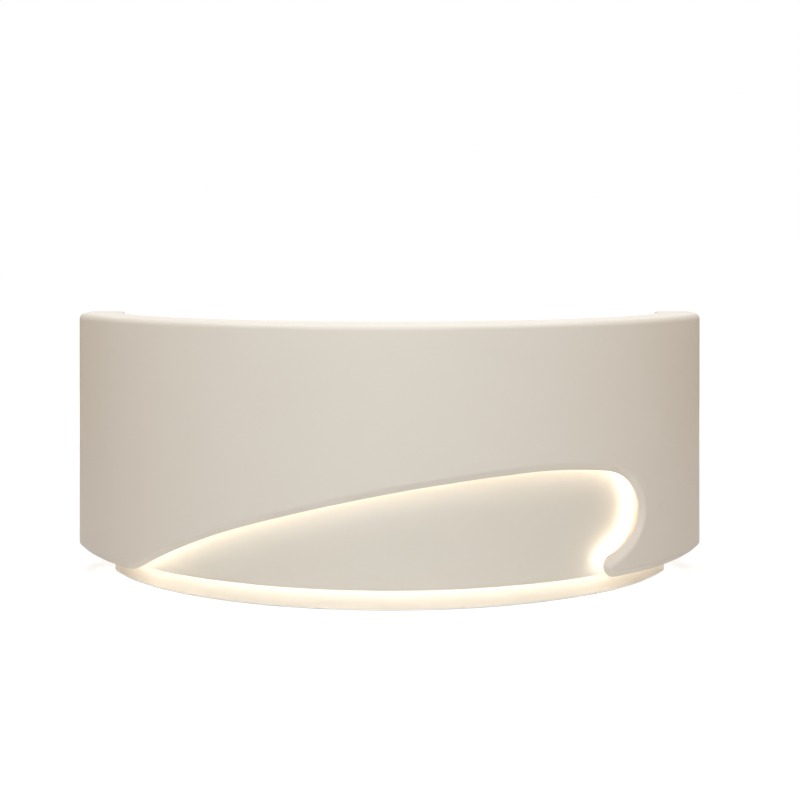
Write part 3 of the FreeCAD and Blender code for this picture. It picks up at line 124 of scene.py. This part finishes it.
shown = add(tree, "ShaderNodeMath", {0: path.outputs["Is Glossy Ray"], 1: MIRRORED_SHARE,
                                     2: path.outputs["Is Camera Ray"]}, operation="MULTIPLY_ADD").outputs[0]
lift = add(tree, "ShaderNodeMath", {0: shown, 1: spread}, operation="MULTIPLY").outputs[0]
glow = add(tree, "ShaderNodeEmission", {"Color": linear(SURROUND_COLOUR), "Strength": lift})
both = add(tree, "ShaderNodeAddShader", {0: matt.outputs[0], 1: glow.outputs[0]})
add(tree, "ShaderNodeOutputMaterial", {"Surface": both.outputs[0]})
floor_mesh.materials.append(floor_paint)


def softbox(name, place, target, width, height, watts, colour, mirrored=True):
    """A soft lamp that faces its target. The camera never sees it, and gloss only where mirrored is on."""
    data = bpy.data.lights.new(name, "AREA")
    data.shape = "RECTANGLE"
    data.size = width
    data.size_y = height
    data.energy = watts
    data.color = linear(colour)[:3]
    lamp = bpy.data.objects.new(name, data)
    lamp.location = place
    lamp.rotation_euler = (Vector(target) - Vector(place)).to_track_quat("-Z", "Y").to_euler()
    lamp.visible_camera = False
    lamp.visible_glossy = mirrored
    scene.collection.objects.link(lamp)


softbox("front_softbox", place=(-0.2, -4.6, 2.6), target=(0, 0, 0.6), width=4.0, height=2.6, watts=113,
        colour="#DBEEFF")
softbox("overhead_softbox", place=(0, -0.3, 3.6), target=(0, 0, 0.8), width=4.5, height=3.0, watts=90,
        colour="#E3F0FF")
softbox("rear_softbox", place=(0.4, 4.4, 2.3), target=(0, 0.2, 0.5), width=3.6, height=2.4, watts=70,
        colour="#F4F7FF", mirrored=False)


def surface(name, colour, roughness, **sockets):
    """A material with plain values on its shader, its tree and shader, and the place that patterns use."""
    material = bpy.data.materials.new(name)
    material.use_nodes = True
    tree = material.node_tree
    shader = tree.nodes["Principled BSDF"]
    shader.inputs["Base Color"].default_value = linear(colour)
    shader.inputs["Roughness"].default_value = roughness
    for socket, value in sockets.items():
        shader.inputs[socket.replace("_", " ")].default_value = value
    place = add(tree, "ShaderNodeTexCoord").outputs["Object"]
    return material, tree, shader, place


def wire(tree, shader, **patterns):
    """Link each pattern to the shader's socket of that name."""
    for socket, pattern in patterns.items():
        tree.links.new(pattern, shader.inputs[socket.replace("_", " ")])


def dress(material, *names):
    """Give CAD nodes a material."""
    for name in names:
        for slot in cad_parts[name].material_slots:
            slot.material = material


# Front shell and top cap: one moulded skin, filled, sanded and sprayed with satin polyurethane
# lacquer, so that no joint shows. The spray leaves a faint orange peel, and the tone drifts a little.
MILLIMETRE = 0.001
CREAM = "#E8DDCE"
CREAM_DEEP = "#E5D9C9"
DRIFT_SIZE = 420 * MILLIMETRE
PEEL_SIZE = 5 * MILLIMETRE
PEEL_DEPTH = 0.4 * MILLIMETRE
LACQUER_SHINIER = 0.03
LACQUER_DULLER = 0.04


def sprayed_lacquer(name, light, deep, roughness):
    """Lacquer whose tone and gloss drift together, over a faint peel."""
    material, tree, shader, place = surface(name, light, roughness, Coat_Weight=0.12, Coat_Roughness=0.22,
                                            IOR=1.45)
    drift = add(tree, "ShaderNodeTexNoise", {"Vector": place, "Scale": 1 / DRIFT_SIZE,
                                             "Detail": 2.0}).outputs[0]
    tone = add(tree, "ShaderNodeMix", {0: drift, 6: linear(light), 7: linear(deep)}, data_type="RGBA")
    peel = add(tree, "ShaderNodeTexNoise", {"Vector": place, "Scale": 1 / PEEL_SIZE,
                                            "Detail": 1.0}).outputs[0]
    bump = add(tree, "ShaderNodeBump", {"Height": peel, "Strength": 0.04, "Distance": PEEL_DEPTH})
    gloss = add(tree, "ShaderNodeMapRange", {"Value": drift, "To Min": roughness - LACQUER_SHINIER,
                                             "To Max": roughness + LACQUER_DULLER})
    wire(tree, shader, Base_Color=tone.outputs[2], Normal=bump.outputs[0], Roughness=gloss.outputs[0])
    return material


dress(sprayed_lacquer("satin_cream_lacquer", CREAM, CREAM_DEEP, roughness=0.38), "front_shell", "top_cap")

# Recessed panel: bent board behind the cut-out, glued to the lower studs and lit from the cut-out's
# edge. It has the same lacquer as the shell, but a little paler and more matt.
PANEL_CREAM = "#EAE1D2"
PANEL_CREAM_DEEP = "#E7DDCD"
dress(sprayed_lacquer("satin_panel_lacquer", PANEL_CREAM, PANEL_CREAM_DEEP, roughness=0.42), "recess_panel")

# Plinth: bent board on the kick line, with straight boards behind on the operator's side, in matt
# lacquer that takes wet mopping.
PLINTH_CREAM = "#F0E6D6"
PLINTH_CREAM_DEEP = "#EDE2D1"
plinth_lacquer = sprayed_lacquer("matt_plinth_lacquer", PLINTH_CREAM, PLINTH_CREAM_DEEP, roughness=0.5)
dress(plinth_lacquer, "plinth_front", "plinth_rear_left", "plinth_rear_right")

# Lights: opal polycarbonate covers, extruded and pressed into their channels over tapes of neutral white
# diodes. The covers spread the light evenly, so no dots show, and their face is finely frosted.
OPAL = "#FFF9F0"
OPAL_LIGHT = "#FFF8EC"
FROST_SIZE = 5 * MILLIMETRE


def lit_opal(name, strength):
    """A cover that glows with the diodes behind it."""
    material, tree, shader, place = surface(name, OPAL, roughness=0.55, IOR=1.58)
    shader.inputs["Emission Color"].default_value = linear(OPAL_LIGHT)
    shader.inputs["Emission Strength"].default_value = strength
    grain = add(tree, "ShaderNodeTexNoise", {"Vector": place, "Scale": 1 / FROST_SIZE,
                                             "Detail": 2.0}).outputs[0]
    frost = add(tree, "ShaderNodeMapRange", {"Value": grain, "To Min": 0.5, "To Max": 0.6})
    wire(tree, shader, Roughness=frost.outputs[0])
    return material


dress(lit_opal("opal_polycarbonate", strength=7.6), "led_diffuser")
dress(lit_opal("opal_polycarbonate_plinth", strength=11.0), "plinth_led_diffuser")

# Light channels: extruded aluminium, etched and anodised, glued along the cut-out's edge and under the
# base. Extrusion leaves fine lines, which the etching softens to a satin sheen.
ANODISED = "#C9CACC"
ANODISED_DEEP = "#BDBEC1"
EXTRUSION_LINE = 1.2 * MILLIMETRE
EXTRUSION_STRETCH = 0.02
anodised, tree, shader, place = surface("anodised_aluminium", ANODISED, roughness=0.35, Metallic=1.0)
line_scale = (EXTRUSION_STRETCH, EXTRUSION_STRETCH, 1.0)
across = add(tree, "ShaderNodeMapping", {"Vector": place, "Scale": line_scale}).outputs[0]
lines = add(tree, "ShaderNodeTexNoise", {"Vector": across, "Scale": 1 / EXTRUSION_LINE,
                                         "Detail": 2.0}).outputs[0]
tone = add(tree, "ShaderNodeMix", {0: lines, 6: linear(ANODISED), 7: linear(ANODISED_DEEP)}, data_type="RGBA")
gloss = add(tree, "ShaderNodeMapRange", {"Value": lines, "To Min": 0.28, "To Max": 0.42})
wire(tree, shader, Base_Color=tone.outputs[2], Roughness=gloss.outputs[0])
dress(anodised, "led_channel", "plinth_led_channel")

# Boards of the operator's side: chipboard faced with white melamine paper under a pearl plate, cut,
# edged and screwed together. The pearl is a faint pebble, drawn a little coarser than real to show.
MELAMINE = "#E8E6E0"
MELAMINE_DEEP = "#E3E0D9"
PEARL_SIZE = 2.2 * MILLIMETRE
PEARL_DEPTH = 0.15 * MILLIMETRE
melamine, tree, shader, place = surface("white_melamine", MELAMINE, roughness=0.42, IOR=1.5)
cloud = add(tree, "ShaderNodeTexNoise", {"Vector": place, "Scale": 1 / DRIFT_SIZE, "Detail": 3.0}).outputs[0]
tone = add(tree, "ShaderNodeMix", {0: cloud, 6: linear(MELAMINE), 7: linear(MELAMINE_DEEP)}, data_type="RGBA")
pearl = add(tree, "ShaderNodeTexVoronoi", {"Vector": place, "Scale": 1 / PEARL_SIZE},
            feature="SMOOTH_F1").outputs[0]
bump = add(tree, "ShaderNodeBump", {"Height": pearl, "Strength": 0.25, "Distance": PEARL_DEPTH})
gloss = add(tree, "ShaderNodeMapRange", {"Value": pearl, "To Min": 0.38, "To Max": 0.48})
wire(tree, shader, Base_Color=tone.outputs[2], Normal=bump.outputs[0], Roughness=gloss.outputs[0])
dress(melamine, "inner_liner", "end_boards", "base_deck", "drawer_side_inner", "drawer_side_outer",
      "cupboard_side_inner", "cupboard_side_outer", "cupboard_shelf", "bay_shelf_left", "bay_shelf_right",
      "drawer_front_1", "drawer_front_2", "cupboard_door")

# Worktop and keyboard tray: chipboard under a matt high-pressure laminate, printed with a fine linen
# thread in warm grey and pressed against a fine-cloth plate, with its front edge rolled over.
LINEN = "#C9C3B8"
LINEN_DEEP = "#B9B2A6"
THREAD = 1.6 * MILLIMETRE
THREAD_STRETCH = 0.08
THREAD_DEPTH = 0.08 * MILLIMETRE
laminate, tree, shader, place = surface("linen_laminate", LINEN, roughness=0.55, IOR=1.5)
along = add(tree, "ShaderNodeMapping", {"Vector": place, "Scale": (THREAD_STRETCH, 1.0, 1.0)}).outputs[0]
athwart = add(tree, "ShaderNodeMapping", {"Vector": place, "Scale": (1.0, THREAD_STRETCH, 1.0)}).outputs[0]
warp = add(tree, "ShaderNodeTexNoise", {"Vector": along, "Scale": 1 / THREAD, "Detail": 1.0}).outputs[0]
weft = add(tree, "ShaderNodeTexNoise", {"Vector": athwart, "Scale": 1 / THREAD, "Detail": 1.0}).outputs[0]
cloth = add(tree, "ShaderNodeMath", {0: warp, 1: weft}, operation="ADD").outputs[0]
weave = add(tree, "ShaderNodeMapRange", {"Value": cloth, "From Min": 0.7, "From Max": 1.3}).outputs[0]
tone = add(tree, "ShaderNodeMix", {0: weave, 6: linear(LINEN), 7: linear(LINEN_DEEP)}, data_type="RGBA")
bump = add(tree, "ShaderNodeBump", {"Height": weave, "Strength": 0.3, "Distance": THREAD_DEPTH})
gloss = add(tree, "ShaderNodeMapRange", {"Value": weave, "To Min": 0.5, "To Max": 0.62})
wire(tree, shader, Base_Color=tone.outputs[2], Normal=bump.outputs[0], Roughness=gloss.outputs[0])
dress(laminate, "worktop", "keyboard_tray")

# Formers, studs and worktop cleat: unfinished plywood, bandsawn to the curve and screwed. Its faces show
# long soft grain, and its edges show light and dark plies.
PLY_FACE = "#D3B083"
PLY_DARK = "#B98D5C"
PLY_THICK = 3 * MILLIMETRE
WAVE_REPEAT = math.pi / 10
GRAIN_WIDTH = 4 * MILLIMETRE
GRAIN_STRETCH = 0.06
GRAIN_DEPTH = 0.2 * MILLIMETRE
GLOSS_SPREAD = 0.06


def plywood(name, face, dark, grain_scale, edge_share, roughness):
    """Grain runs along the axis that grain_scale shrinks. Plies stack upwards, as strong as edge_share.

    A wave at scale 1 repeats every WAVE_REPEAT of a metre.
    """
    material, tree, shader, place = surface(name, face, roughness, IOR=1.5)
    stretched = add(tree, "ShaderNodeMapping", {"Vector": place, "Scale": grain_scale}).outputs[0]
    grain = add(tree, "ShaderNodeTexNoise", {"Vector": stretched, "Scale": 1 / GRAIN_WIDTH, "Detail": 4.0,
                                             "Distortion": 0.6}).outputs[0]
    plies = add(tree, "ShaderNodeTexWave", {"Vector": place, "Scale": WAVE_REPEAT / PLY_THICK,
                                            "Distortion": 0.4}, bands_direction="Z").outputs[1]
    normal = add(tree, "ShaderNodeTexCoord").outputs["Normal"]
    upward = add(tree, "ShaderNodeSeparateXYZ", {0: normal}).outputs["Z"]
    on_face = add(tree, "ShaderNodeMath", {0: upward}, operation="ABSOLUTE").outputs[0]
    on_edge = add(tree, "ShaderNodeMapRange", {"Value": on_face, "To Min": edge_share,
                                               "To Max": 0.0}).outputs[0]
    pattern = add(tree, "ShaderNodeMix", {0: on_edge, 2: grain, 3: plies}).outputs[0]
    spread = add(tree, "ShaderNodeMapRange", {"Value": pattern, "From Min": 0.3, "From Max": 0.75}).outputs[0]
    tone = add(tree, "ShaderNodeMix", {0: spread, 6: linear(face), 7: linear(dark)}, data_type="RGBA")
    bump = add(tree, "ShaderNodeBump", {"Height": spread, "Strength": 0.2, "Distance": GRAIN_DEPTH})
    gloss = add(tree, "ShaderNodeMapRange", {"Value": spread, "To Min": roughness - GLOSS_SPREAD,
                                             "To Max": roughness + GLOSS_SPREAD})
    wire(tree, shader, Base_Color=tone.outputs[2], Normal=bump.outputs[0], Roughness=gloss.outputs[0])
    return material


lying_ply = plywood("poplar_plywood", PLY_FACE, PLY_DARK, grain_scale=(GRAIN_STRETCH, 1, 1), edge_share=1.0,
                    roughness=0.7)
dress(lying_ply, "former_top", "former_middle", "upper_studs", "lower_studs", "worktop_cleat")

# Drawer boxes: birch plywood, rubbed down and oiled, grooved for the bottom and glued at the corners.
# Birch is pale, with a fine close grain along each drawer.
BIRCH = "#E0C9A4"
BIRCH_DARK = "#CDAF84"
birch = plywood("oiled_birch_plywood", BIRCH, BIRCH_DARK, grain_scale=(1, GRAIN_STRETCH, 1), edge_share=0.1,
                roughness=0.48)
dress(birch, "drawer_box_1", "drawer_box_2")

# Back panels: thin hardboard with a white painted face, pinned into the cabinets. Pressed fibres show
# through the paint as a fine fleck.
PAINTED = "#DEDBD3"
PAINTED_DEEP = "#CFCAC0"
FIBRE_LENGTH = 6 * MILLIMETRE
FIBRE_DEPTH = 0.2 * MILLIMETRE
hardboard, tree, shader, place = surface("painted_hardboard", PAINTED, roughness=0.6, IOR=1.5)
fibres = add(tree, "ShaderNodeTexNoise", {"Vector": place, "Scale": 1 / FIBRE_LENGTH, "Detail": 6.0,
                                          "Distortion": 1.5}).outputs[0]
fleck = add(tree, "ShaderNodeMapRange", {"Value": fibres, "From Min": 0.35, "From Max": 0.7}).outputs[0]
tone = add(tree, "ShaderNodeMix", {0: fleck, 6: linear(PAINTED), 7: linear(PAINTED_DEEP)}, data_type="RGBA")
bump = add(tree, "ShaderNodeBump", {"Height": fleck, "Strength": 0.25, "Distance": FIBRE_DEPTH})
wire(tree, shader, Base_Color=tone.outputs[2], Normal=bump.outputs[0])
dress(hardboard, "drawer_back_panel", "cupboard_back_panel")

# Moulded plastics: black polypropylene legs, clips, switch and socket, black lead sheaths, and grey
# cable grommets. The mould's spark-eroded face gives a fine matt grain.
BLACK = "#1D1D1E"
BLACK_GRAIN = "#262627"
ROCKER_BLACK = "#222223"
ROCKER_BLACK_GRAIN = "#2A2A2B"
GROMMET_GREY = "#A9A8A4"
GROMMET_GREY_DEEP = "#A09F9B"
SPARK_GRAIN = 1.5 * MILLIMETRE
SPARK_DEPTH = 0.1 * MILLIMETRE
MOULDED_SHINIER = 0.05
MOULDED_DULLER = 0.08


def moulded_plastic(name, light, deep, roughness):
    """Plastic, or a coat that melts to the same finish, with an even grain in tone, relief and gloss."""
    material, tree, shader, place = surface(name, light, roughness, IOR=1.49)
    grain = add(tree, "ShaderNodeTexNoise", {"Vector": place, "Scale": 1 / SPARK_GRAIN,
                                             "Detail": 3.0}).outputs[0]
    tone = add(tree, "ShaderNodeMix", {0: grain, 6: linear(light), 7: linear(deep)}, data_type="RGBA")
    bump = add(tree, "ShaderNodeBump", {"Height": grain, "Strength": 0.3, "Distance": SPARK_DEPTH})
    gloss = add(tree, "ShaderNodeMapRange", {"Value": grain, "To Min": roughness - MOULDED_SHINIER,
                                             "To Max": roughness + MOULDED_DULLER})
    wire(tree, shader, Base_Color=tone.outputs[2], Normal=bump.outputs[0], Roughness=gloss.outputs[0])
    return material


black_plastic = moulded_plastic("black_polypropylene", BLACK, BLACK_GRAIN, roughness=0.5)
dress(black_plastic, "levelling_legs", "power_inlet", "switch_housing", "lead_clips", "led_leads")
rocker_plastic = moulded_plastic("black_rocker_abs", ROCKER_BLACK, ROCKER_BLACK_GRAIN, roughness=0.32)
dress(rocker_plastic, "switch_rocker")
grommet_plastic = moulded_plastic("grey_grommet_abs", GROMMET_GREY, GROMMET_GREY_DEEP, roughness=0.42)
dress(grommet_plastic, "grommet_rings", "grommet_cap_left", "grommet_cap_right")

# Light driver: folded steel case under a white powder coat, screwed under the worktop. The coat's grains
# melt into a light pebble.
COAT_WHITE = "#DAD9D5"
COAT_WHITE_DEEP = "#D2D1CD"
dress(moulded_plastic("white_powder_coat", COAT_WHITE, COAT_WHITE_DEEP, roughness=0.45), "led_driver")

# Runners, screws, pins and strike: cold-rolled steel, zinc plated. Rolling leaves fine lines along the
# length, and the plating clouds a little.
ZINC = "#B9BCBF"
ZINC_DEEP = "#9FA3A8"
ROLL_LINE = 0.8 * MILLIMETRE
ROLL_STRETCH = 0.02
CLOUD_SIZE = 30 * MILLIMETRE
zinc, tree, shader, place = surface("zinc_plated_steel", ZINC, roughness=0.38, Metallic=1.0)
along = add(tree, "ShaderNodeMapping", {"Vector": place, "Scale": (1.0, ROLL_STRETCH, 1.0)}).outputs[0]
rolled = add(tree, "ShaderNodeTexNoise", {"Vector": along, "Scale": 1 / ROLL_LINE, "Detail": 2.0}).outputs[0]
clouds = add(tree, "ShaderNodeTexNoise", {"Vector": place, "Scale": 1 / CLOUD_SIZE, "Detail": 3.0}).outputs[0]
tone = add(tree, "ShaderNodeMix", {0: clouds, 6: linear(ZINC), 7: linear(ZINC_DEEP)}, data_type="RGBA")
gloss = add(tree, "ShaderNodeMapRange", {"Value": rolled, "To Min": 0.28, "To Max": 0.46})
wire(tree, shader, Base_Color=tone.outputs[2], Roughness=gloss.outputs[0])
dress(zinc, "drawer_runner_outer", "drawer_runner_mid_1", "drawer_runner_mid_2", "drawer_runner_inner_1",
      "drawer_runner_inner_2", "tray_runner_outer", "tray_runner_mid", "tray_runner_inner",
      "worktop_screws", "shelf_pins", "lock_strike")

# Lock and hinges: steel and zinc castings under satin nickel, lightly brushed before plating, which
# gives a warm soft shine.
NICKEL = "#BDB5A8"
NICKEL_DEEP = "#ADA598"
BRUSH_LINE = 0.5 * MILLIMETRE
BRUSH_STRETCH = 0.03
nickel, tree, shader, place = surface("satin_nickel", NICKEL, roughness=0.28, Metallic=1.0)
upright = add(tree, "ShaderNodeMapping", {"Vector": place, "Scale": (1.0, 1.0, BRUSH_STRETCH)}).outputs[0]
brushed = add(tree, "ShaderNodeTexNoise", {"Vector": upright, "Scale": 1 / BRUSH_LINE,
                                           "Detail": 2.0}).outputs[0]
tone = add(tree, "ShaderNodeMix", {0: brushed, 6: linear(NICKEL), 7: linear(NICKEL_DEEP)}, data_type="RGBA")
gloss = add(tree, "ShaderNodeMapRange", {"Value": brushed, "To Min": 0.2, "To Max": 0.36})
wire(tree, shader, Base_Color=tone.outputs[2], Roughness=gloss.outputs[0])
dress(nickel, "lock_barrel", "lock_core", "hinge_fixed_leaves", "hinge_door_leaves", "hinge_pins")
